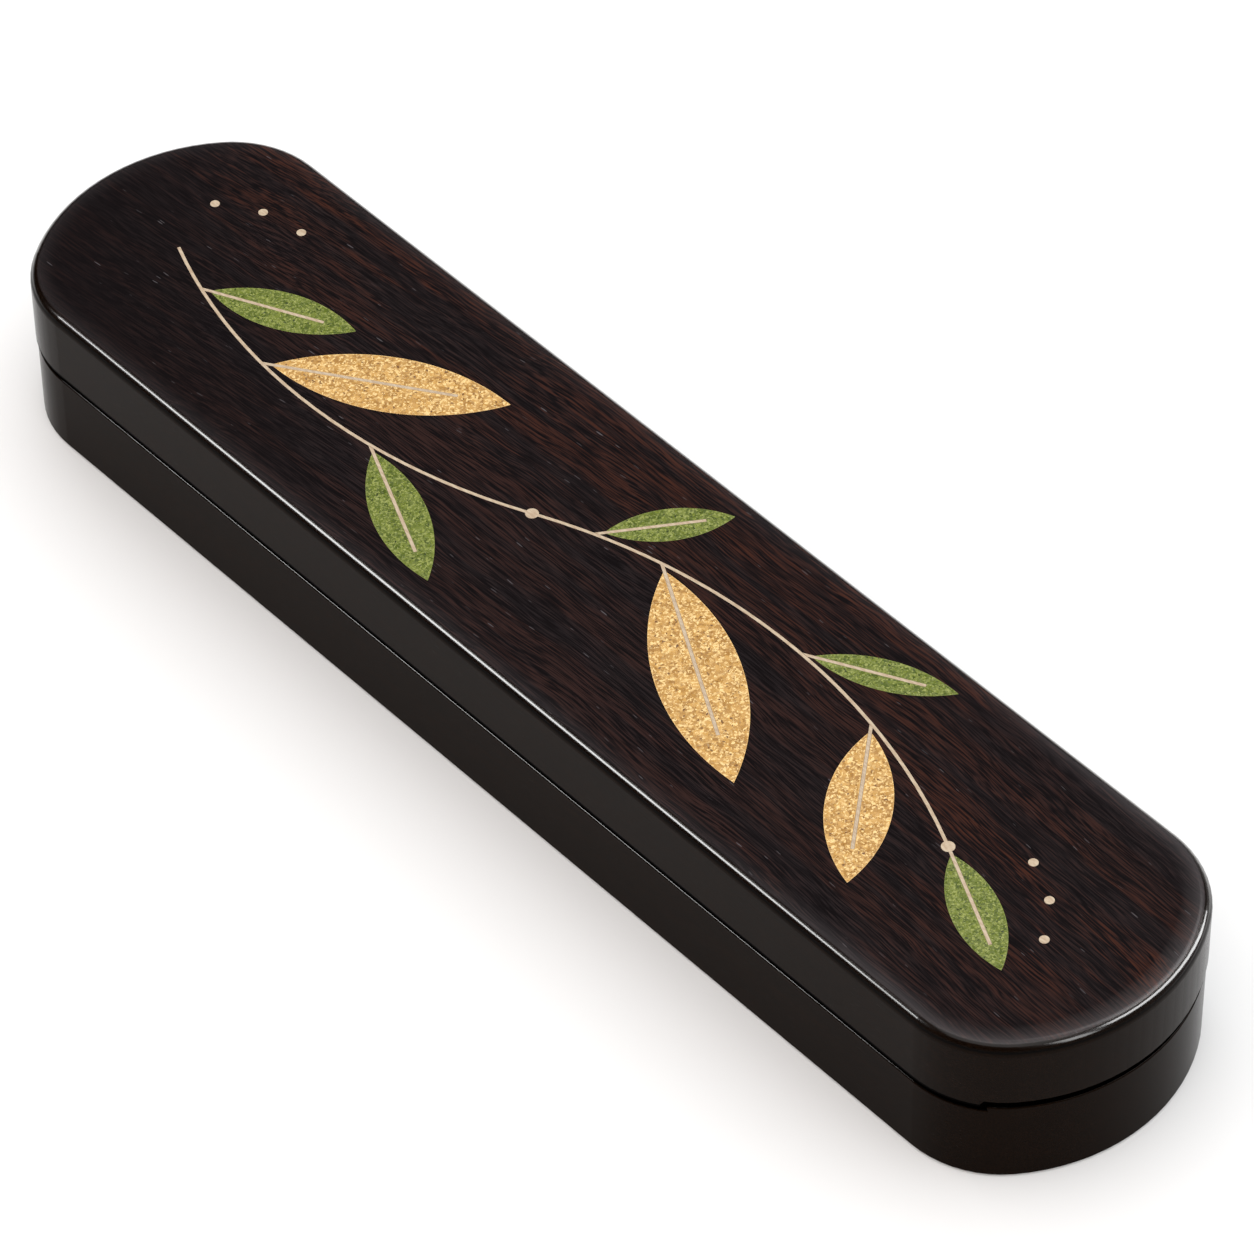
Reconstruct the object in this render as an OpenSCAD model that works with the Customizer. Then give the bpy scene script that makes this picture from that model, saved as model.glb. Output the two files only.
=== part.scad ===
/* [Overall size] */
// Length of the closed box
box_l = 245; // [205:1:300]
// Width of the closed box
box_w = 55; // [46:1:68]
// Height of the closed box
box_h = 30; // [27:0.5:38]

/* [Plan shape] */
// Distance from the long axis to the centre of each corner arc
corner_y = 9; // [6:0.3:13.5]

/* [Seam] */
// Height of the base's rim along the long sides
rim_z = 15.3; // [13:0.1:18.2]
// Height of the open shadow line between base and lid
shadow_h = 1; // [0.6:0.1:2]
// Depth of the shadow line, in from the face of the base
shadow_d = 1.6; // [1:0.1:2.5]
// How far the face of the base stands in from the face of the lid
base_inset = 0.25; // [0:0.05:0.6]

/* [Near end step] */
// Height that the seam rises at the near end
step_h = 1.5; // [0.8:0.1:2]
// How much wider the shadow line is there than along the long sides
line_more = 0.6; // [0:0.1:0.7]
// Distance from the near end of the box to the foot of the step
step_from_end = 9.85; // [7:0.05:12]
// Lean of the step's face over the lid's tooth, in degrees
step_lean = 12; // [0:1:25]
// Open gap that shows between the step and the lid's tooth
step_gap = 0.5; // [0.3:0.05:1.5]
// Gap between the inner faces of step and tooth that stop the closing lid
stop_gap = 0.15; // [0.05:0.05:0.3]
// Gap over the raised end, so that the lid bears on the long seat only
head_gap = 0.2; // [0.1:0.05:0.5]

/* [Edges] */
// Radius of the lid's top edge
top_round = 1.9; // [0.5:0.1:3]
// Radius of the small round on the rim of the base
rim_break = 0.3; // [0.1:0.05:0.6]
// Width of the small bevel on the lower edge of the lid
under_break = 0.2; // [0.1:0.05:0.6]
// Width of the bevel round the foot of the base
foot_break = 0.5; // [0.2:0.1:1.5]

/* [Stick trough] */
// Thickness of the long walls
wall_t = 7.2; // [5.5:0.1:9]
// Wood left at the far end, which holds the magnets
far_wood = 11.5; // [10:0.5:20]
// Wood left at the near end, under the step
near_wood = 15; // [13:0.5:25]
// Thickness of the floor of the base
floor_t = 4.2; // [3:0.1:6]
// Thickness of the top of the lid over its hollow
lid_top_t = 5; // [3.5:0.1:7]
// Radius of the trough's corners, seen from above
trough_corner = 11; // [6:0.5:16]
// Radius where the trough's floor turns up into its walls
trough_cove = 3; // [1:0.5:5]
// Radius of wood kept round the pivot
pillar_r = 8; // [6:0.5:11]

/* [Pivot] */
// Distance of the pivot's axis from the back face of the box
pivot_edge = 6; // [5.6:0.1:8]
// Gap between the swinging edge of the lid and the step
swing_gap = 0.4; // [0.3:0.05:0.8]
// Radius of the pivot screw's shank
shank_r = 1.5; // [1.25:0.25:2]
// Radius of the pivot screw's head
head_r = 2.8; // [2.3:0.1:3.4]
// Height of the pivot screw's head
head_h = 2.2; // [1.6:0.1:3]
// Wall of the brass bush and of the threaded insert
sleeve_t = 1; // [0.7:0.1:1.4]
// Width of the slot in the screw's head
slot_w = 0.8; // [0.5:0.1:1.2]
// Depth of the slot in the screw's head
slot_d = 1; // [0.5:0.1:1.4]
// Length of the threaded insert in the lid
insert_l = 7; // [4:0.5:8]
// How far the screw's end stays inside the insert
screw_short = 0.6; // [0.2:0.1:1.5]
// Radius of the bush's flange and of the thrust washer
flange_r = 3.8; // [3.2:0.1:4.5]
// Thickness of the bush's flange
flange_t = 0.8; // [0.5:0.1:1.2]
// Thickness of the thrust washer
washer_t = 0.4; // [0.2:0.05:0.6]
// Height of the wave washer under the screw's head
spring_t = 0.5; // [0.3:0.1:0.8]
// Thickness of the wooden plug that hides the screw
plug_t = 1.5; // [1:0.1:2]
// Gap between the plug and the screw's head
plug_gap = 0.55; // [0.2:0.05:1]
// Running clearance of the shank in the bush
run_gap = 0.05; // [0.02:0.01:0.1]
// Clearance between the shank and the insert, in place of a thread
thread_gap = 0.02; // [0.01:0.01:0.05]
// Clearance round parts that are pressed or glued into the wood
seat_gap = 0.05; // [0.02:0.01:0.1]

/* [Magnets] */
// Radius of the disc magnets
magnet_r = 2.5; // [1.5:0.25:3]
// Thickness of the disc magnets
magnet_t = 3; // [1.5:0.5:4]
// Distance of each magnet from the middle of the box's width
magnet_y = 8; // [5:0.5:12]
// Wood between the magnets and the trough
magnet_wood = 2; // [1:0.25:3]

/* [Inlay] */
// Wood left clear between the branch and each end of the lid
branch_end = 18.5; // [12:0.5:40]
// Wood left clear between the branch and the long sides of the lid
branch_side = 4.3; // [3:0.1:10]
// Depth of the inlaid pieces
inlay_t = 0.8; // [0.5:0.1:1.5]
// Width of the inlaid wire
wire_w = 0.55; // [0.4:0.05:1]
// Glue line round each inlaid piece
inlay_gap = 0.04; // [0.02:0.01:0.1]
// Gap between the stem and the foot of each leaf
leaf_gap = 1.6; // [1:0.1:3]
// Radius of the buds where the stem's two bends meet and at its near end
bud_r = 1.1; // [0.6:0.1:2]
// Share of a leaf's length that its rib reaches
rib_share = 0.78; // [0.5:0.01:0.95]
// Radius of the stem's first bend, at the far end
bend_a = 105; // [80:5:130]
// Radius of the stem's second bend, at the near end
bend_b = 110; // [90:5:160]
// Radius of the round seed pins
seed_r = 0.8; // [0.5:0.1:1.5]

/* [Hidden] */
$fn = 96;
over = 1;

// Plan: a broad arc across each end, blended into straight sides by corner arcs. The
// arcs meet on a line with the slope of a 3-4-5 triangle, given from the broad arc's centre.
corner_r = box_w / 2 - corner_y;
corner_x = corner_y * 4 / 3;
end_r = corner_r + corner_y * 5 / 3;
end_cx = box_l / 2 - end_r;
side_half = end_cx + corner_x;

// Heights of the seam
seat_z = rim_z + shadow_h;
high_z = seat_z + step_h;
raised_rim = rim_z + step_h - line_more;

// Step: the base's face, the lid's tooth and the inner stop all lean alike
step_x = box_l / 2 - step_from_end;
tooth_x = step_x - step_gap;
stop_x = tooth_x + stop_gap;
lean_run = tan(step_lean);

// Pivot, in the back corner of the near end
pivot_y = box_w / 2 - pivot_edge;
pivot_x = stop_x - step_h * lean_run - swing_gap - pivot_edge;
sweep_r = pivot_edge + swing_gap / 2;
sleeve_r = shank_r + sleeve_t;
bush_top = seat_z;
head_z = plug_t + plug_gap;
spring_z = head_z + head_h;
bush_z = spring_z + spring_t;
insert_z = seat_z + washer_t;
shank_top = insert_z + insert_l - screw_short;

// Trough, shared by base and lid
trough_x0 = -box_l / 2 + far_wood;
trough_x1 = box_l / 2 - near_wood;
trough_l = trough_x1 - trough_x0;
trough_w = box_w - 2 * wall_t;
trough_mid = (trough_x0 + trough_x1) / 2;

// Magnets stand between the far end and the trough
magnet_x = trough_x0 - magnet_wood - magnet_r;

// Inlaid branch, drawn to reach this far from the lid's middle along and across it, and
// then sized to leave the clear wood round it
branch_reach = 104;
branch_rise = 23.2;
sizing = min((box_l / 2 - branch_end) / branch_reach, (box_w / 2 - branch_side) / branch_rise);
inlay_z = box_h - inlay_t;

// The stem is two opposite bends that meet at join_x
stem_x0 = -100 * sizing;
join_x = -15 * sizing;
stem_x1 = 80 * sizing;
stem_low = -10 * sizing;
far_bend = bend_a * sizing;
near_bend = bend_b * sizing;
far_bend_x = -60 * sizing;
far_bend_y = far_bend + stem_low;
join_y = far_bend_y - sqrt(pow(far_bend, 2) - pow(join_x - far_bend_x, 2));
near_bend_x = join_x + (join_x - far_bend_x) * near_bend / far_bend;
near_bend_y = join_y + (join_y - far_bend_y) * near_bend / far_bend;

// Leaves as [place along the lid, direction in degrees, length, width], and seeds as places
gold_leaves = [for (leaf = [[-70, 34, 40, 12.5], [7, -29, 46, 14], [54, -50, 31, 10.5]]) sized(leaf)];
green_leaves = [for (leaf = [[-90, 26, 26, 8.5], [-44, -24, 30, 9], [-5, 57, 21, 7], [36, 28, 24, 6.5],
    [80, -26, 24, 8]]) sized(leaf)];
seeds = sizing * [[-104, 9], [-97, 13.5], [-89, 15], [91, 7], [98, 3.5], [103, -2.5]];
function sized(leaf) = [leaf[0] * sizing, leaf[1], leaf[2] * sizing, leaf[3] * sizing];

// The wedge of the plan that the arc across an end fills
module end_wedge() {
    far_x = 4 * corner_x;
    far_y = 4 * corner_y;
    polygon([[0, 0], [far_x, -far_y], [far_x + end_r, 0], [far_x, far_y]]);
}

// The box's outline, drawn in by an inset
module plan(inset = 0) {
    square([2 * side_half, box_w - 2 * inset], center = true);
    for (end = [0, 1]) mirror([end, 0]) translate([end_cx, 0]) {
        intersection() {
            circle(end_r - inset);
            end_wedge();
        }
        for (y = [-corner_y, corner_y]) translate([corner_x, y]) circle(corner_r - inset);
    }
}

module slab(inset, z0, z1) {
    translate([0, 0, z0]) linear_extrude(z1 - z0) plan(inset);
}

// Half of a section, from the middle out to a face, with a bevel below and a round edge above
module half_section(reach, z0, z1, bevel, round_r) {
    polygon([[0, z0], [reach - bevel, z0], [reach, z0 + bevel], [reach, z1 - round_r],
        [reach - round_r, z1 - round_r], [reach - round_r, z1], [0, z1]]);
    translate([reach - round_r, z1 - round_r]) intersection() {
        circle(round_r);
        square(round_r);
    }
}

// The outline as a block whose edges are worked all round
module block(inset, z0, z1, bevel, round_r) {
    for (end = [0, 1]) mirror([end, 0, 0]) translate([end_cx, 0, 0]) {
        intersection() {
            rotate_extrude() half_section(end_r - inset, z0, z1, bevel, round_r);
            translate([0, 0, z0 - over]) linear_extrude(z1 - z0 + 2 * over) end_wedge();
        }
        for (y = [-corner_y, corner_y]) translate([corner_x, y, 0])
            rotate_extrude() half_section(corner_r - inset, z0, z1, bevel, round_r);
    }
    translate([-side_half, 0, 0]) rotate([90, 0, 90]) linear_extrude(2 * side_half)
        for (side = [0, 1]) mirror([side, 0]) half_section(box_w / 2 - inset, z0, z1, bevel, round_r);
}

// Everything on the near side of a face that leans over towards the far end
module beyond(x, z_foot, z0, z1) {
    reach = box_l;
    rotate([90, 0, 0]) linear_extrude(2 * box_w, center = true)
        polygon([[x - (z0 - z_foot) * lean_run, z0], [reach, z0], [reach, z1],
            [x - (z1 - z_foot) * lean_run, z1]]);
}

// A block with round corners whose edges at one face are coved, used to cut the trough
module trough_tool(depth) {
    core_l = trough_l - 2 * trough_corner;
    core_w = trough_w - 2 * trough_corner;
    translate([trough_mid, 0, 0]) mirror([0, 0, 1]) {
        for (x = [-core_l / 2, core_l / 2], y = [-core_w / 2, core_w / 2]) translate([x, y, 0])
            rotate_extrude() trough_section(trough_corner, depth);
        translate([-core_l / 2, 0, 0]) rotate([90, 0, 90]) linear_extrude(core_l)
            for (side = [0, 1]) mirror([side, 0]) trough_section(trough_w / 2, depth);
        translate([0, core_w / 2, 0]) rotate([90, 0, 0]) linear_extrude(core_w)
            for (side = [0, 1]) mirror([side, 0]) trough_section(trough_l / 2, depth);
    }
}

module trough_section(reach, depth) {
    half_section(reach, -depth, 0, 0, trough_cove);
}

// The wood kept round the pivot's axis
module pillar(z0, z1, r = pillar_r) {
    translate([pivot_x, pivot_y, z0]) cylinder(r = r, h = z1 - z0);
}

module at_pivot() {
    translate([pivot_x, pivot_y, 0]) children();
}

module magnet_pair(z, h, r) {
    for (y = [-magnet_y, magnet_y]) translate([magnet_x, y, z]) cylinder(r = r, h = h);
}

// Base: rim with its bevels, and the seat that stands above it inside the shadow line
module base_shell() {
    color("#2e2826") difference() {
        union() {
            block(base_inset, 0, rim_z, foot_break, rim_break);
            slab(base_inset + shadow_d, 0, seat_z);
            intersection() {
                block(base_inset, 0, raised_rim, foot_break, rim_break);
                beyond(step_x, rim_z, rim_z - over, high_z);
            }
            intersection() {
                slab(base_inset + shadow_d, 0, high_z - head_gap);
                beyond(stop_x, rim_z, seat_z - over, high_z);
            }
        }
        difference() {
            translate([0, 0, floor_t]) trough_tool(high_z);
            pillar(0, high_z + over);
        }
        magnet_pair(seat_z - magnet_t, magnet_t + over, magnet_r + seat_gap);
        at_pivot() {
            translate([0, 0, -over]) cylinder(r = head_r + 2 * seat_gap, h = bush_z + over);
            cylinder(r = sleeve_r + seat_gap, h = high_z);
            translate([0, 0, seat_z - flange_t]) cylinder(r = flange_r + seat_gap, h = flange_t + over);
        }
    }
}

// Lid: round top edge, hollow below, and a tooth that hooks under the base's step
module lid_shell() {
    color("#241a18") difference() {
        block(0, seat_z, box_h, under_break, top_round);
        beyond(tooth_x, rim_z, seat_z - over, high_z);
        tooth_relief();
        difference() {
            translate([0, 0, box_h - lid_top_t]) mirror([0, 0, 1]) trough_tool(box_h - lid_top_t - seat_z + over);
            pillar(seat_z - 2 * over, box_h);
        }
        magnet_pair(seat_z - over, magnet_t + over, magnet_r + seat_gap);
        at_pivot() {
            translate([0, 0, seat_z - over]) cylinder(r = sleeve_r + seat_gap, h = over + washer_t + insert_l);
            translate([0, 0, seat_z - over]) cylinder(r = flange_r + seat_gap, h = over + washer_t);
        }
        inlay_pockets();
    }
}

// Rounds the tooth about the pivot, so that it swings clear of the step
module tooth_relief() {
    at_pivot() translate([0, 0, seat_z - over]) linear_extrude(over + step_h) difference() {
        square(2 * pivot_edge);
        circle(sweep_r);
    }
}

module pivot_bush() {
    color("#b08d4a") at_pivot() difference() {
        union() {
            translate([0, 0, bush_z]) cylinder(r = sleeve_r, h = bush_top - bush_z);
            translate([0, 0, bush_top - flange_t]) cylinder(r = flange_r, h = flange_t);
        }
        translate([0, 0, bush_z - over]) cylinder(r = shank_r + run_gap, h = bush_top - bush_z + 2 * over);
    }
}

module pivot_screw() {
    color("#9c7b3c") at_pivot() difference() {
        union() {
            translate([0, 0, head_z]) cylinder(r = head_r, h = head_h);
            translate([0, 0, head_z]) cylinder(r = shank_r, h = shank_top - head_z);
        }
        translate([-head_r - over, -slot_w / 2, head_z - over]) cube([2 * (head_r + over), slot_w, slot_d + over]);
    }
}

module washer_ring(z, t, r_out) {
    at_pivot() translate([0, 0, z]) difference() {
        cylinder(r = r_out, h = t);
        translate([0, 0, -over]) cylinder(r = shank_r + 2 * run_gap, h = t + 2 * over);
    }
}

module spring_washer() {
    color("#8a8a8a") washer_ring(spring_z, spring_t, head_r - seat_gap);
}

module thrust_washer() {
    color("#c9a658") washer_ring(seat_z, washer_t, flange_r);
}

module thread_insert() {
    color("#b08d4a") at_pivot() translate([0, 0, insert_z]) difference() {
        cylinder(r = sleeve_r, h = insert_l);
        translate([0, 0, -over]) cylinder(r = shank_r + thread_gap, h = insert_l + 2 * over);
    }
}

module screw_plug() {
    color("#2e2826") at_pivot() cylinder(r = head_r + seat_gap, h = plug_t);
}

module base_magnets() {
    color("#b9bcc0") magnet_pair(seat_z - magnet_t, magnet_t, magnet_r);
}

module lid_magnets() {
    color("#b9bcc0") magnet_pair(seat_z, magnet_t, magnet_r);
}

// Height and direction of the stem where it passes a place along the lid
function from_far(x) = sqrt(pow(far_bend, 2) - pow(x - far_bend_x, 2));
function from_near(x) = sqrt(pow(near_bend, 2) - pow(x - near_bend_x, 2));
function stem_y(x) = x < join_x ? far_bend_y - from_far(x) : near_bend_y + from_near(x);

// An arc of wire round a bend's centre, between two places along the lid
module bent_wire(bend, cx, cy, a0, a1, w, t) {
    translate([cx, cy, 0]) rotate([0, 0, a0]) rotate_extrude(angle = a1 - a0)
        translate([bend - w / 2, 0]) square([w, t]);
}

module stem(w, t) {
    bent_wire(far_bend, far_bend_x, far_bend_y, atan2(-from_far(stem_x0), stem_x0 - far_bend_x),
        atan2(-from_far(join_x), join_x - far_bend_x), w, t);
    bent_wire(near_bend, near_bend_x, near_bend_y, atan2(from_near(stem_x1), stem_x1 - near_bend_x),
        atan2(from_near(join_x), join_x - near_bend_x), w, t);
    for (x = [join_x, stem_x1]) translate([x, stem_y(x), 0]) cylinder(r = bud_r + (w - wire_w) / 2, h = t);
}

// Puts a leaf's own frame at its foot on the stem, with X along the leaf
module on_stem(leaf) {
    translate([leaf[0], stem_y(leaf[0]), 0]) rotate([0, 0, leaf[1]]) children();
}

// A leaf is the lens between two equal arcs
module leaf_shape(leaf, grow) {
    bow = (pow(leaf[2], 2) + pow(leaf[3], 2)) / (4 * leaf[3]);
    translate([leaf_gap + leaf[2] / 2, 0]) intersection() {
        translate([0, bow - leaf[3] / 2]) circle(bow + grow);
        translate([0, leaf[3] / 2 - bow]) circle(bow + grow);
    }
}

// The rib runs from the middle of the stem into the leaf
module rib_shape(leaf, grow) {
    reach = leaf_gap + rib_share * leaf[2];
    translate([0, -wire_w / 2 - grow]) square([reach + grow, wire_w + 2 * grow]);
}

module leaf_body(leaf) {
    translate([0, 0, inlay_z]) linear_extrude(inlay_t) difference() {
        leaf_shape(leaf, 0);
        rib_shape(leaf, inlay_gap);
    }
}

module inlay_pockets() {
    depth = inlay_t + over;
    translate([0, 0, inlay_z]) {
        stem(wire_w + 2 * inlay_gap, depth);
        for (leaf = concat(gold_leaves, green_leaves)) on_stem(leaf) linear_extrude(depth) {
            leaf_shape(leaf, inlay_gap);
            rib_shape(leaf, inlay_gap);
        }
        for (seed = seeds) translate(seed) cylinder(r = seed_r + inlay_gap, h = depth);
    }
}

module stem_wire() {
    color("#e8d2b0") translate([0, 0, inlay_z]) stem(wire_w, inlay_t);
}

module leaf_ribs() {
    color("#e8d2b0") translate([0, 0, inlay_z]) difference() {
        for (leaf = concat(gold_leaves, green_leaves)) on_stem(leaf) linear_extrude(inlay_t) rib_shape(leaf, 0);
        translate([0, 0, -over]) stem(wire_w + 2 * inlay_gap, inlay_t + 2 * over);
    }
}

module seed_pins() {
    color("#e8d2b0") for (seed = seeds) translate([seed[0], seed[1], inlay_z])
        cylinder(r = seed_r, h = inlay_t);
}

module gold_leaf(n) {
    color("#d9a95c") on_stem(gold_leaves[n]) leaf_body(gold_leaves[n]);
}

module green_leaf(n) {
    color("#7f9a45") on_stem(green_leaves[n]) leaf_body(green_leaves[n]);
}

base_shell();
lid_shell();
pivot_bush();
pivot_screw();
spring_washer();
thrust_washer();
thread_insert();
screw_plug();
base_magnets();
lid_magnets();
stem_wire();
leaf_ribs();
seed_pins();
gold_leaf(0);  // gold_leaf_1
gold_leaf(1);  // gold_leaf_2
gold_leaf(2);  // gold_leaf_3
green_leaf(0);  // green_leaf_1
green_leaf(1);  // green_leaf_2
green_leaf(2);  // green_leaf_3
green_leaf(3);  // green_leaf_4
green_leaf(4);  // green_leaf_5
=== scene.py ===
import math

import bpy
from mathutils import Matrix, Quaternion, Vector

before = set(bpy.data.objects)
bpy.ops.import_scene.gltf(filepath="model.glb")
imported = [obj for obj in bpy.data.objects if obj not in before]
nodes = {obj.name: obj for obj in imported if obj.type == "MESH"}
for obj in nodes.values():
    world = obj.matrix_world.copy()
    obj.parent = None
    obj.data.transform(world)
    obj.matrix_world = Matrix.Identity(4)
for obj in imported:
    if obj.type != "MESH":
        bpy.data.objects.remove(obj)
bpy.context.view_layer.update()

# Base. The lower half of the box, carved from one block of a dense, nearly black wood: the
# stick trough, the rim, the shadow line and the raised near end. It is oiled and rubbed to a
# satin, and hands have polished its rim along the long sides. Shade is painted near black into
# the shadow line.


class Sketch:
    """A shader node tree being drawn, with short ways to add what this file uses."""

    def __init__(self, tree):
        self.tree = tree

    def put(self, value, socket):
        if isinstance(value, bpy.types.NodeSocket):
            self.tree.links.new(value, socket)
        else:
            socket.default_value = value

    def add(self, kind, inputs, **settings):
        """A node with its inputs, each a value or another node's output."""
        node = self.tree.nodes.new("ShaderNode" + kind)
        for name, value in settings.items():
            setattr(node, name, value)
        for name, value in inputs.items():
            self.put(value, node.inputs[name])
        return node.outputs

    def sum(self, operation, *values):
        inputs = dict(enumerate(values))
        return self.add("Math", inputs, operation=operation)[0]

    def step(self, value, low, high, least=0.0, most=1.0):
        """Runs softly from least to most as the value goes from low to high."""
        inputs = {"Value": value, "From Min": low, "From Max": high, "To Min": least, "To Max": most}
        return self.add("MapRange", inputs, interpolation_type="SMOOTHSTEP")[0]

    def blend(self, share, first, second, kind="MIX"):
        return self.add("Mix", {0: share, 6: first, 7: second}, data_type="RGBA", blend_type=kind)[2]

    def stretched(self, place, size):
        """The place in a space where a feature of this size, in millimetres, is 1 across."""
        inverse = [1 / part for part in size]
        return self.add("VectorMath", {0: place, 1: inverse}, operation="MULTIPLY")[0]

    def noise(self, place, size, detail, rough=0.5):
        inputs = {"Vector": self.stretched(place, size), "Scale": 1.0, "Detail": detail, "Roughness": rough}
        return self.add("TexNoise", inputs)["Fac"]

    def place(self):
        """The place on the piece in millimetres. It moves with the piece."""
        spot = self.add("TexCoord", {})["Object"]
        return self.add("VectorMath", {0: spot, "Scale": 1000.0}, operation="SCALE")[0]


def start_group(name, inputs, outputs):
    """A shader node group with its named sockets, as (sketch, given values, sockets to fill)."""
    tree = bpy.data.node_groups.new(name, "ShaderNodeTree")
    for socket, kind in inputs.items():
        tree.interface.new_socket(name=socket, in_out="INPUT", socket_type="NodeSocket" + kind)
    for socket, kind in outputs.items():
        tree.interface.new_socket(name=socket, in_out="OUTPUT", socket_type="NodeSocket" + kind)
    given = tree.nodes.new("NodeGroupInput").outputs
    made = tree.nodes.new("NodeGroupOutput").inputs
    return Sketch(tree), given, made


def start_material(name, **constants):
    """A new material and its shader, with the constant values set on the shader itself."""
    material = bpy.data.materials.new(name)
    material.use_nodes = True
    shader = material.node_tree.nodes["Principled BSDF"].inputs
    for socket, value in constants.items():
        shader[socket.replace("_", " ")].default_value = value
    return material, Sketch(material.node_tree), shader


def use_group(sketch, group, values):
    return sketch.add("Group", values, node_tree=group)


def feed_shader(sketch, shader, effect):
    """Leads the colour, roughness and height of an effect, the height in millimetres, to the shader."""
    bump = sketch.add("Bump", {"Height": effect["Height"], "Strength": 1.0, "Distance": 0.001})
    sketch.put(effect["Colour"], shader["Base Color"])
    sketch.put(effect["Roughness"], shader["Roughness"])
    sketch.put(bump[0], shader["Normal"])


arch_top = 60.0
arch_bend = 0.0005
waver_size = (36, 12, 12)
waver_reach = 5.0
ripple_size = (16, 5, 5)
ripple_reach = 1.0
layer_tilt = 0.35
band_size = (60, 5, 3)
line_size = (14, 0.36, 0.36)
fibre_size = (5, 0.18, 0.18)
pore_size = (5, 0.6, 0.6)
grain_relief = 0.010


def build_wood_group():
    """Dark wood, its grain along the box in a very flat arch and its layers slightly tilted."""
    inputs = {"Shift": "Vector", "Deep": "Color", "Brown": "Color", "Red": "Color", "Pore": "Color",
              "Brown Share": "Float", "Red Share": "Float", "Pore Share": "Float", "Smooth": "Float",
              "Rough": "Float"}
    sketch, given, made = start_group("dark wood", inputs,
                                      {"Colour": "Color", "Roughness": "Float", "Height": "Float"})
    moved = sketch.add("VectorMath", {0: sketch.place(), 1: given["Shift"]})[0]
    x, y, z = sketch.add("SeparateXYZ", {0: moved})
    ahead = sketch.sum("SUBTRACT", x, arch_top)
    arch = sketch.sum("MULTIPLY", sketch.sum("MULTIPLY", ahead, ahead), arch_bend)
    waver = sketch.noise(moved, waver_size, 2.0)
    ripple = sketch.noise(moved, ripple_size, 1.0)
    across = sketch.sum("ADD", sketch.sum("MULTIPLY_ADD", waver, waver_reach, arch), y)
    across = sketch.sum("MULTIPLY_ADD", ripple, ripple_reach, across)
    depth = sketch.sum("MULTIPLY_ADD", y, layer_tilt, z)
    grain = sketch.add("CombineXYZ", {0: x, 1: across, 2: depth})[0]

    bands = sketch.step(sketch.noise(grain, band_size, 3.0), 0.36, 0.62)
    lines = sketch.step(sketch.noise(grain, line_size, 2.0, 0.6), 0.34, 0.70)
    fibres = sketch.step(sketch.noise(grain, fibre_size, 1.0), 0.32, 0.68)

    cell = sketch.add("TexVoronoi", {"Vector": sketch.stretched(grain, pore_size), "Scale": 1.0})
    chance = sketch.add("SeparateColor", {0: cell["Color"]})
    reach = sketch.step(chance[0], 0.50, 0.98, 0.0, 0.18)
    pores = sketch.step(sketch.sum("SUBTRACT", reach, cell["Distance"]), 0.0, 0.05)

    shade = sketch.sum("MULTIPLY_ADD", fibres, 0.6, sketch.sum("MULTIPLY", lines, 0.4))
    shade = sketch.sum("MULTIPLY", sketch.step(shade, 0.15, 1.0), given["Brown Share"])
    colour = sketch.blend(shade, given["Deep"], given["Brown"])
    glow = sketch.sum("MULTIPLY_ADD", lines, 0.5, sketch.sum("MULTIPLY", fibres, 0.5))
    glow = sketch.sum("MULTIPLY", glow, sketch.sum("MULTIPLY_ADD", bands, 0.5, 0.5))
    glow = sketch.sum("MULTIPLY", sketch.step(glow, 0.2, 0.9), given["Red Share"])
    colour = sketch.blend(glow, colour, given["Red"])
    pore_part = sketch.sum("MULTIPLY", sketch.sum("MULTIPLY", pores, chance[1]), given["Pore Share"])
    colour = sketch.blend(pore_part, colour, given["Pore"])
    rough = sketch.add("Mix", {0: fibres, 2: given["Smooth"], 3: given["Rough"]})[0]
    raised = sketch.sum("SUBTRACT", sketch.sum("MULTIPLY", fibres, 0.3), pores)
    height = sketch.sum("MULTIPLY", raised, grain_relief)
    sketch.put(colour, made["Colour"])
    sketch.put(rough, made["Roughness"])
    sketch.put(height, made["Height"])
    return sketch.tree


wood_group = build_wood_group()


def finish_node(name, material):
    """Gives a carried-over piece its finish."""
    slots = nodes[name].data.materials
    slots.clear()
    slots.append(material)


def build_round_group():
    """Parts of a rounded edge by how far it has turned up: its foot, its round and the level face."""
    sketch, given, made = start_group("turn of the edge", {}, {"Foot": "Float", "Round": "Float",
                                                               "Face": "Float"})
    upward = sketch.add("SeparateXYZ", {0: sketch.add("TexCoord", {})["Normal"]})[2]
    crest = sketch.step(upward, 0.45, 0.65)
    sketch.put(sketch.sum("SUBTRACT", sketch.step(upward, 0.26, 0.42), crest), made["Foot"])
    sketch.put(sketch.sum("SUBTRACT", crest, sketch.step(upward, 0.985, 0.9995)), made["Round"])
    sketch.put(sketch.step(upward, 0.9, 0.98), made["Face"])
    return sketch.tree


round_group = build_round_group()
end_centre = (89.0, 0.0)
end_radius = 33.5
corner_centre = (101.0, 9.0)
corner_radius = 18.5
corner_slope = (corner_centre[0] - end_centre[0]) / (corner_centre[1] - end_centre[1])


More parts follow.
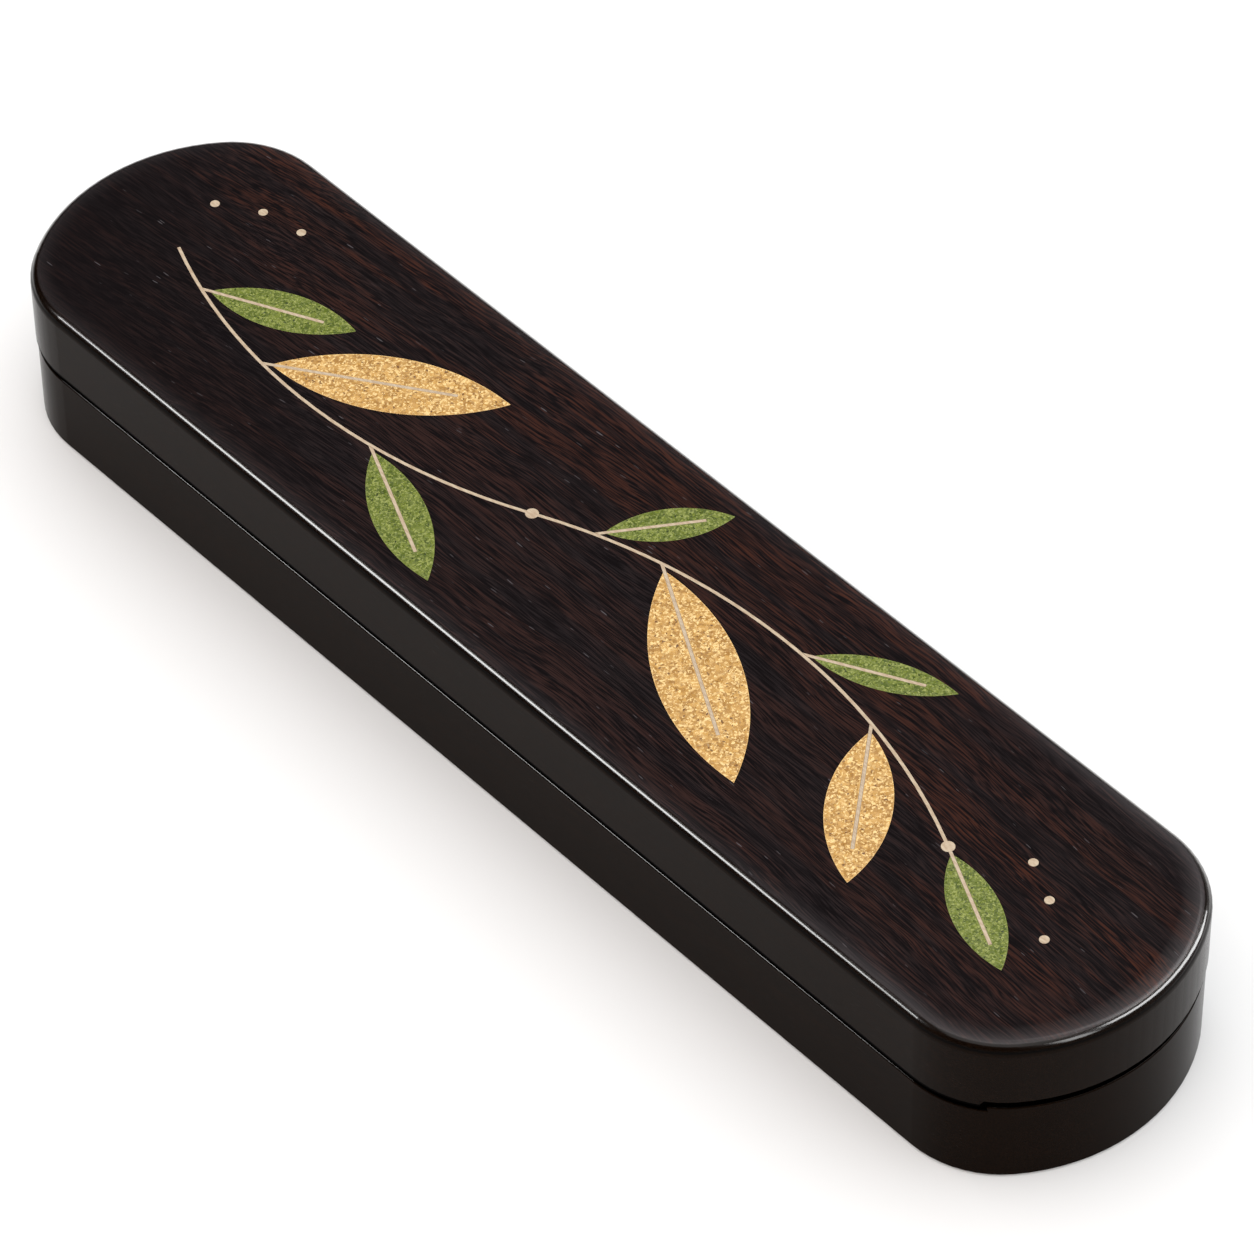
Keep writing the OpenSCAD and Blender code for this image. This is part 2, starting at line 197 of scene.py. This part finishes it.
def build_inset_group():
    """How far a spot lies inside the lid's outline, in millimetres."""
    sketch, given, made = start_group("distance inside the outline", {}, {"Inset": "Float"})
    x, y, _ = sketch.add("SeparateXYZ", {0: sketch.place()})
    along = sketch.sum("ABSOLUTE", x)
    aside = sketch.sum("ABSOLUTE", y)

    def inside(centre, radius):
        """How far a spot lies inside an arc of the outline."""
        run = sketch.sum("MAXIMUM", sketch.sum("SUBTRACT", along, centre[0]), 0.0)
        rise = sketch.sum("MAXIMUM", sketch.sum("SUBTRACT", aside, centre[1]), 0.0)
        spot = sketch.add("CombineXYZ", {0: run, 1: rise})[0]
        return sketch.sum("SUBTRACT", radius, sketch.add("VectorMath", {0: spot}, operation="LENGTH")[1])

    past_centre = sketch.sum("SUBTRACT", along, end_centre[0])
    in_end = sketch.sum("GREATER_THAN", past_centre, sketch.sum("MULTIPLY", aside, corner_slope))
    end_arc = inside(end_centre, end_radius)
    corner_arc = inside(corner_centre, corner_radius)
    sketch.put(sketch.add("Mix", {0: in_end, 2: corner_arc, 3: end_arc})[0], made["Inset"])
    return sketch.tree


inset_group = build_inset_group()
side_values = {"Shift": (0, 0, 0), "Deep": (0.0032, 0.0014, 0.0006, 1), "Brown": (0.0050, 0.0022, 0.0009, 1),
               "Red": (0.0070, 0.0028, 0.0012, 1), "Pore": (0.012, 0.009, 0.006, 1), "Brown Share": 1.0,
               "Red Share": 0.6, "Pore Share": 0.2, "Smooth": 0.14, "Rough": 0.21}
line_mouth = (0.38, 0.46)
line_back = (1.96, 1.90)
line_floor = (14.0, 14.8)
rim_foot = (12.0, 14.0)
straight_side = (86.0, 106.0)
painted_shade_dark = (0.0003, 0.0002, 0.0002, 1)
wood_tint = (1.0, 0.95, 0.89, 1)
base_wood, base_sketch, base_shader = start_material("oiled dark wood", IOR=1.09, Coat_IOR=1.5,
                                                     Coat_Roughness=0.12, Specular_Tint=wood_tint)
base_effect = use_group(base_sketch, wood_group, side_values)
feed_shader(base_sketch, base_shader, base_effect)
base_x, _, base_z = base_sketch.add("SeparateXYZ", {0: base_sketch.place()})
base_inset = use_group(base_sketch, inset_group, {})["Inset"]
# Painted shade: the ledge and the wall inside the shadow line are coloured near black.
shadow_line_shade = base_sketch.sum("MULTIPLY", base_sketch.step(base_inset, *line_mouth),
                          base_sketch.step(base_inset, *line_back))
shadow_line_shade = base_sketch.sum("MULTIPLY", shadow_line_shade, base_sketch.step(base_z, *line_floor))
base_sketch.put(base_sketch.blend(shadow_line_shade, base_effect["Colour"], painted_shade_dark), base_shader["Base Color"])
base_turn = use_group(base_sketch, round_group, {})
long_side = base_sketch.step(base_sketch.sum("ABSOLUTE", base_x), *straight_side, 0.8, 0.0)
on_rim = base_sketch.sum("MULTIPLY", long_side, base_sketch.step(base_z, *rim_foot))
base_sketch.put(base_sketch.sum("MULTIPLY", base_turn["Round"], on_rim), base_shader["Coat Weight"])
finish_node("base_shell", base_wood)

# Base magnets. Two disc magnets, pressed into the far end of the base until they are level
# with its seat. They are sintered, ground and nickel plated.


def build_metal_group():
    """Worked metal: slight stains, and marks as long as Marks says in millimetres."""
    sketch, given, made = start_group("worked metal", {"Tint": "Color", "Gloss": "Float", "Marks": "Vector"},
                                      {"Colour": "Color", "Roughness": "Float", "Height": "Float"})
    place = sketch.place()
    stains = sketch.noise(place, (1.2, 1.2, 1.2), 3.0)
    tone = sketch.step(stains, 0.3, 0.7, 0.8, 1.05)
    shade = sketch.add("CombineColor", {0: tone, 1: tone, 2: tone})[0]
    sketch.put(sketch.blend(1.0, given["Tint"], shade, "MULTIPLY"), made["Colour"])
    sketch.put(sketch.sum("MULTIPLY_ADD", stains, 0.12, given["Gloss"]), made["Roughness"])
    worked = sketch.add("VectorMath", {0: place, 1: given["Marks"]}, operation="MULTIPLY")[0]
    marks = sketch.add("TexNoise", {"Vector": worked, "Scale": 1.0, "Detail": 2.0})["Fac"]
    sketch.put(sketch.sum("MULTIPLY", marks, 0.008), made["Height"])
    return sketch.tree


metal_group = build_metal_group()


def make_metal(name, tint, gloss, marks):
    """marks is how many marks there are in a millimetre along x, y and z."""
    material, sketch, shader = start_material(name, Metallic=1.0)
    effect = use_group(sketch, metal_group, {"Tint": tint, "Gloss": gloss, "Marks": marks})
    feed_shader(sketch, shader, effect)
    return material


nickel = make_metal("nickel plating", (0.62, 0.61, 0.58, 1), 0.2, (1.2, 9, 9))
finish_node("base_magnets", nickel)

# Pivot bush. A flanged bush turned from brass and pressed into the base, with its flange
# level with the seat. The screw turns in it.
brass = make_metal("turned brass", (0.68, 0.47, 0.19, 1), 0.22, (3, 3, 7))
finish_node("pivot_bush", brass)

# Spring washer. A wave washer of hardened steel under the screw's head, which draws the lid
# down on its seat.
spring_steel = make_metal("spring steel", (0.36, 0.35, 0.34, 1), 0.28, (2, 8, 8))
finish_node("spring_washer", spring_steel)

# Thrust washer. A stamped bronze ring between the bush and the lid's insert, which carries
# the lid as it swings.
bronze = make_metal("stamped bronze", (0.60, 0.36, 0.16, 1), 0.27, (3, 6, 6))
finish_node("thrust_washer", bronze)

# Lid. The upper half of the box, from a darker board of the same wood, hollow below, with the
# tooth that closes on the base's step. Its top is polished, so red streaks and pale pores show,
# and worn at the near end. A painted sheen lightens the top along its edge, most at the near end,
# and painted shade darkens the foot of its rounded edge. Its sides are rubbed to a satin, and
# painted shade darkens their lip.
lid_wood, lid_sketch, lid_shader = start_material("polished dark wood", IOR=1.11, Coat_IOR=1.5,
                                                  Coat_Roughness=0.16, Specular_Tint=wood_tint)
far_corner = (-140.0, -50.0)
red_rise = (-4.0, 24.0)
red_streak = 2.0
red_fall = (3.0, 15.0)
red_turn = (50.0, 90.0)
edge_falloff_width = 5.0
painted_sheen_tone = (0.044, 0.040, 0.041, 1)
painted_sheen_range = (50.0, 118.0)
near_end_range = (70.0, 116.0)
round_foot_shade = (0.0008, 0.0005, 0.0005, 1)
lip_shade_top = (17.0, 16.85)
lip_foot = 16.0
lip_height = 0.9
lip_lean = -0.5
lid_x, lid_y, lid_z = lid_sketch.add("SeparateXYZ", {0: lid_sketch.place()})
far_back = lid_sketch.sum("MULTIPLY_ADD", lid_y, 2.0, lid_x)
far_tone = lid_sketch.step(far_back, *far_corner, 0.32, 1.0)
red_back = lid_sketch.step(lid_y, *red_rise, 0.36, 0.86)
off_middle = lid_sketch.sum("ABSOLUTE", lid_sketch.sum("SUBTRACT", lid_y, red_streak))
red_middle = lid_sketch.step(off_middle, *red_fall, 1.0, 0.5)
red_side = lid_sketch.add("Mix", {0: lid_sketch.step(lid_x, *red_turn), 2: red_back, 3: red_middle})[0]
top_values = {"Shift": (31, 7, 3), "Deep": (0.0058, 0.0045, 0.0049, 1), "Brown": (0.0170, 0.0138, 0.0147, 1),
              "Red": (0.052, 0.0170, 0.0102, 1), "Pore": (0.085, 0.075, 0.080, 1), "Brown Share": far_tone,
              "Red Share": lid_sketch.sum("MULTIPLY", red_side, far_tone), "Pore Share": 0.9, "Smooth": 0.3,
              "Rough": 0.42}
lid_top = use_group(lid_sketch, wood_group, top_values)
lid_side = use_group(lid_sketch, wood_group, side_values)
lid_turn = use_group(lid_sketch, round_group, {})
lid_inset = use_group(lid_sketch, inset_group, {})["Inset"]
edge_share = lid_sketch.sum("MULTIPLY_ADD", lid_inset, -1 / edge_falloff_width, 1.0)
edge_share = lid_sketch.sum("MAXIMUM", edge_share, 0.0)
edge_falloff = lid_sketch.sum("MULTIPLY", edge_share, edge_share)
near_end = lid_sketch.step(lid_x, *near_end_range)
painted_sheen = lid_sketch.sum("MULTIPLY", edge_falloff, lid_sketch.step(lid_x, *painted_sheen_range, 0.45, 1.8))
# Painted sheen: a pale tone is added to the top within 5 mm of its edge, most at the near end.
top_colour = lid_sketch.blend(painted_sheen, lid_top["Colour"], painted_sheen_tone, "ADD")
lid_colour = lid_sketch.blend(lid_turn["Face"], lid_side["Colour"], top_colour)
# Painted shade: the lower part of the top's rounded edge, under its crest, is coloured near black.
lid_colour = lid_sketch.blend(lid_turn["Foot"], lid_colour, round_foot_shade)
# Painted shade: the lid's side below a height of 17 mm, just over the shadow line, is coloured near black.
lid_colour = lid_sketch.blend(lid_sketch.step(lid_z, *lip_shade_top), lid_colour, painted_shade_dark)
above_foot = lid_sketch.sum("MAXIMUM", lid_sketch.sum("SUBTRACT", lid_z, lip_foot), 0.0)
lip = lid_sketch.sum("MINIMUM", above_foot, lip_height)
lid_height = lid_sketch.sum("MULTIPLY_ADD", lip, lip_lean, lid_top["Height"])
crown = lid_sketch.sum("MULTIPLY", edge_falloff, lid_sketch.step(lid_x, *near_end_range, 0.4, 0.9))
lid_height = lid_sketch.sum("SUBTRACT", lid_height, crown)
lid_bump = lid_sketch.add("Bump", {"Height": lid_height, "Strength": 1.0, "Distance": 0.001})
lid_sketch.put(lid_colour, lid_shader["Base Color"])
lid_sketch.put(lid_side["Roughness"], lid_shader["Roughness"])
lid_sketch.put(lid_bump[0], lid_shader["Normal"])
worn = lid_sketch.sum("MULTIPLY", lid_sketch.sum("MULTIPLY", edge_share, near_end), lid_turn["Face"])
lid_sketch.put(lid_sketch.sum("MAXIMUM", lid_turn["Round"], lid_sketch.sum("MULTIPLY", worn, 0.6)),
               lid_shader["Coat Weight"])
finish_node("lid_shell", lid_wood)

# Lid magnets. Two more disc magnets, pressed into the lid over those in the base, which hold
# the far end shut.
finish_node("lid_magnets", nickel)

# Thread insert. A brass insert screwed and glued into the lid, which takes the pivot screw.
# It is turned, with its thread cut last.
finish_node("thread_insert", brass)

# Pivot screw. A slotted brass shoulder screw put in from beneath. It is fast in the lid's
# insert and turns with the lid.
finish_node("pivot_screw", brass)

# Screw plug. A turned plug of the base's wood, glued in over the screw and levelled with the
# underside.
finish_node("screw_plug", base_wood)

# Stem, ribs and seeds. Cream wire and pins of a hard pale wood, tapped into narrow grooves in
# the lid, glued and sanded level.
cream, cream_sketch, cream_shader = start_material("cream inlay", Roughness=0.4, IOR=1.4)
cream_share = cream_sketch.step(cream_sketch.noise(cream_sketch.place(), (1.4, 0.4, 0.4), 3.0), 0.3, 0.7)
cream_sketch.put(cream_sketch.blend(cream_share, (0.40, 0.29, 0.19, 1), (0.52, 0.42, 0.30, 1)),
                 cream_shader["Base Color"])
for cream_piece in ("stem_wire", "leaf_ribs", "seed_pins"):
    finish_node(cream_piece, cream)

# Gold leaves. Crushed gold-coloured stone set in clear resin in a pocket of the lid, ground
# level and polished with it. The chips lie at all angles, and resin fills the rim.


def build_stone_group():
    """Crushed stone in resin, of chips as wide as Chip says in millimetres."""
    inputs = {"Dark": "Color", "Mid": "Color", "Light": "Color", "Speck": "Color", "Rim": "Color",
              "Chip": "Float"}
    sketch, given, made = start_group("crushed stone", inputs,
                                      {"Colour": "Color", "Roughness": "Float", "Height": "Float"})
    size = sketch.add("CombineXYZ", {0: given["Chip"], 1: given["Chip"], 2: given["Chip"]})[0]
    place = sketch.add("VectorMath", {0: sketch.place(), 1: size}, operation="DIVIDE")[0]
    bend = sketch.add("TexNoise", {"Vector": place, "Scale": 1.3, "Detail": 2.0})["Color"]
    place = sketch.add("VectorMath", {0: place, 1: bend})[0]
    coarse = sketch.add("TexVoronoi", {"Vector": place, "Scale": 1.0})
    fine = sketch.add("TexVoronoi", {"Vector": place, "Scale": 2.4})
    tone = sketch.add("SeparateColor", {0: coarse["Color"]})
    glint = sketch.add("SeparateColor", {0: fine["Color"]})
    colour = sketch.blend(tone[0], given["Dark"], given["Mid"])
    colour = sketch.blend(sketch.step(glint[1], 0.5, 1.0), colour, given["Light"])
    colour = sketch.blend(sketch.step(glint[2], 0.94, 1.0), colour, given["Speck"])
    softened = sketch.add("Bevel", {"Radius": 0.0003}, samples=4)[0]
    flat = sketch.add("NewGeometry", {})["True Normal"]
    facing = sketch.add("VectorMath", {0: softened, 1: flat}, operation="DOT_PRODUCT")[1]
    colour = sketch.blend(sketch.step(facing, 0.98, 0.9), colour, given["Rim"])
    sketch.put(colour, made["Colour"])
    sketch.put(sketch.step(glint[0], 0.0, 1.0, 0.22, 0.42), made["Roughness"])
    sketch.put(sketch.sum("MULTIPLY", glint[0], 0.03), made["Height"])
    return sketch.tree


stone_group = build_stone_group()


def make_stone(name, values):
    material, sketch, shader = start_material(name)
    feed_shader(sketch, shader, use_group(sketch, stone_group, values))
    return material


gold_stone = make_stone("crushed gold stone", {
    "Dark": (0.34, 0.165, 0.034, 1), "Mid": (0.58, 0.33, 0.092, 1), "Light": (0.82, 0.58, 0.25, 1),
    "Speck": (0.16, 0.075, 0.03, 1), "Rim": (0.70, 0.44, 0.17, 1), "Chip": 0.75})
for number in (1, 2, 3):
    finish_node(f"gold_leaf_{number}", gold_stone)

# Green leaves. Crushed green stone set and polished in the same way.
# Its chips are a little finer.
green_stone = make_stone("crushed green stone", {
    "Dark": (0.064, 0.094, 0.008, 1), "Mid": (0.155, 0.190, 0.026, 1), "Light": (0.27, 0.30, 0.075, 1),
    "Speck": (0.03, 0.045, 0.010, 1), "Rim": (0.19, 0.225, 0.048, 1), "Chip": 0.65})
for number in (1, 2, 3, 4, 5):
    finish_node(f"green_leaf_{number}", green_stone)

# Floor. A wide sheet of white board that the box stands on.
# It is matt, and wide enough to run out of the picture.
floor_half = 2.0
floor_mesh = bpy.data.meshes.new("floor")
floor_corners = [(-floor_half, -floor_half, 0), (floor_half, -floor_half, 0), (floor_half, floor_half, 0),
                 (-floor_half, floor_half, 0)]
floor_mesh.from_pydata(floor_corners, [], [(0, 1, 2, 3)])
floor = bpy.data.objects.new("floor", floor_mesh)
bpy.context.scene.collection.objects.link(floor)
board, board_sketch, board_shader = start_material("white board", Roughness=0.9)
board_shader["Base Color"].default_value = (0.86, 0.855, 0.85, 1)
board_shader["Specular IOR Level"].default_value = 0.1
floor.data.materials.append(board)

# Light. Two wide dim soft boxes, overhead and at the back, a strip at the back right and a small
# box at the right for the line along the near end, another at the front left for the line along
# the front edge, and a bright room.


def hang_soft_box(name, centre, width, depth, radiance, turn=0.0):
    """An area light that faces the box, turned about its own axis by an angle in degrees."""
    lamp = bpy.data.lights.new(name, "AREA")
    lamp.shape = "RECTANGLE"
    lamp.size = width
    lamp.size_y = depth
    lamp.energy = radiance * math.pi * width * depth
    hung = bpy.data.objects.new(name, lamp)
    bpy.context.scene.collection.objects.link(hung)
    hung.location = centre
    hung.rotation_mode = "QUATERNION"
    hung.rotation_quaternion = ((-Vector(centre)).to_track_quat("-Z", "Y")
                                @ Quaternion((0, 0, 1), math.radians(turn)))
    hung.visible_diffuse = False


hang_soft_box("overhead soft box", (0.16, -0.20, 1.15), 1.0, 0.8, 0.8)
hang_soft_box("back soft box", (-0.06, 0.62, 1.01), 0.6, 0.4, 2.6)
hang_soft_box("back right strip", (0.60, 0.77, 0.69), 0.30, 1.2, 17.0, turn=42)
hang_soft_box("right soft box", (0.88, 0.0, 0.78), 0.25, 0.4, 7.0)
hang_soft_box("front left soft box", (-0.61, -0.70, 0.76), 0.4, 0.24, 22.0)
room = bpy.data.worlds.new("room")
room.use_nodes = True
room_sketch = Sketch(room.node_tree)
toward = room_sketch.add("SeparateXYZ", {0: room_sketch.add("TexCoord", {})["Generated"]})[1]
warm_side = (1.0, 0.955, 0.93, 1)
cool_side = (0.98, 1.01, 1.03, 1)
room_shade = room_sketch.blend(room_sketch.step(toward, -0.5, 0.5), warm_side, cool_side)
room_sketch.put(room_shade, room.node_tree.nodes["Background"].inputs["Color"])
room.node_tree.nodes["Background"].inputs["Strength"].default_value = 1.5
bpy.context.scene.world = room
room.cycles_visibility.glossy = False
bpy.context.scene.view_settings.view_transform = "Standard"

# Camera. A long lens from the near front corner, as the photograph was taken.
# It is turned by a little under a degree, as that camera was.
camera_place = Vector((0.55590, -0.48590, 0.80116))
camera_aim = Vector((0.002907, 0.003975, 0.015))
camera_roll = math.radians(-0.827)
lens = bpy.data.cameras.new("camera")
lens.lens = 195.24
lens.sensor_width = 36
lens.clip_end = 50
camera = bpy.data.objects.new("camera", lens)
bpy.context.scene.collection.objects.link(camera)
camera.location = camera_place
camera.rotation_mode = "QUATERNION"
camera.rotation_quaternion = ((camera_aim - camera_place).to_track_quat("-Z", "Y")
                              @ Quaternion((0, 0, 1), camera_roll))
bpy.context.scene.camera = camera
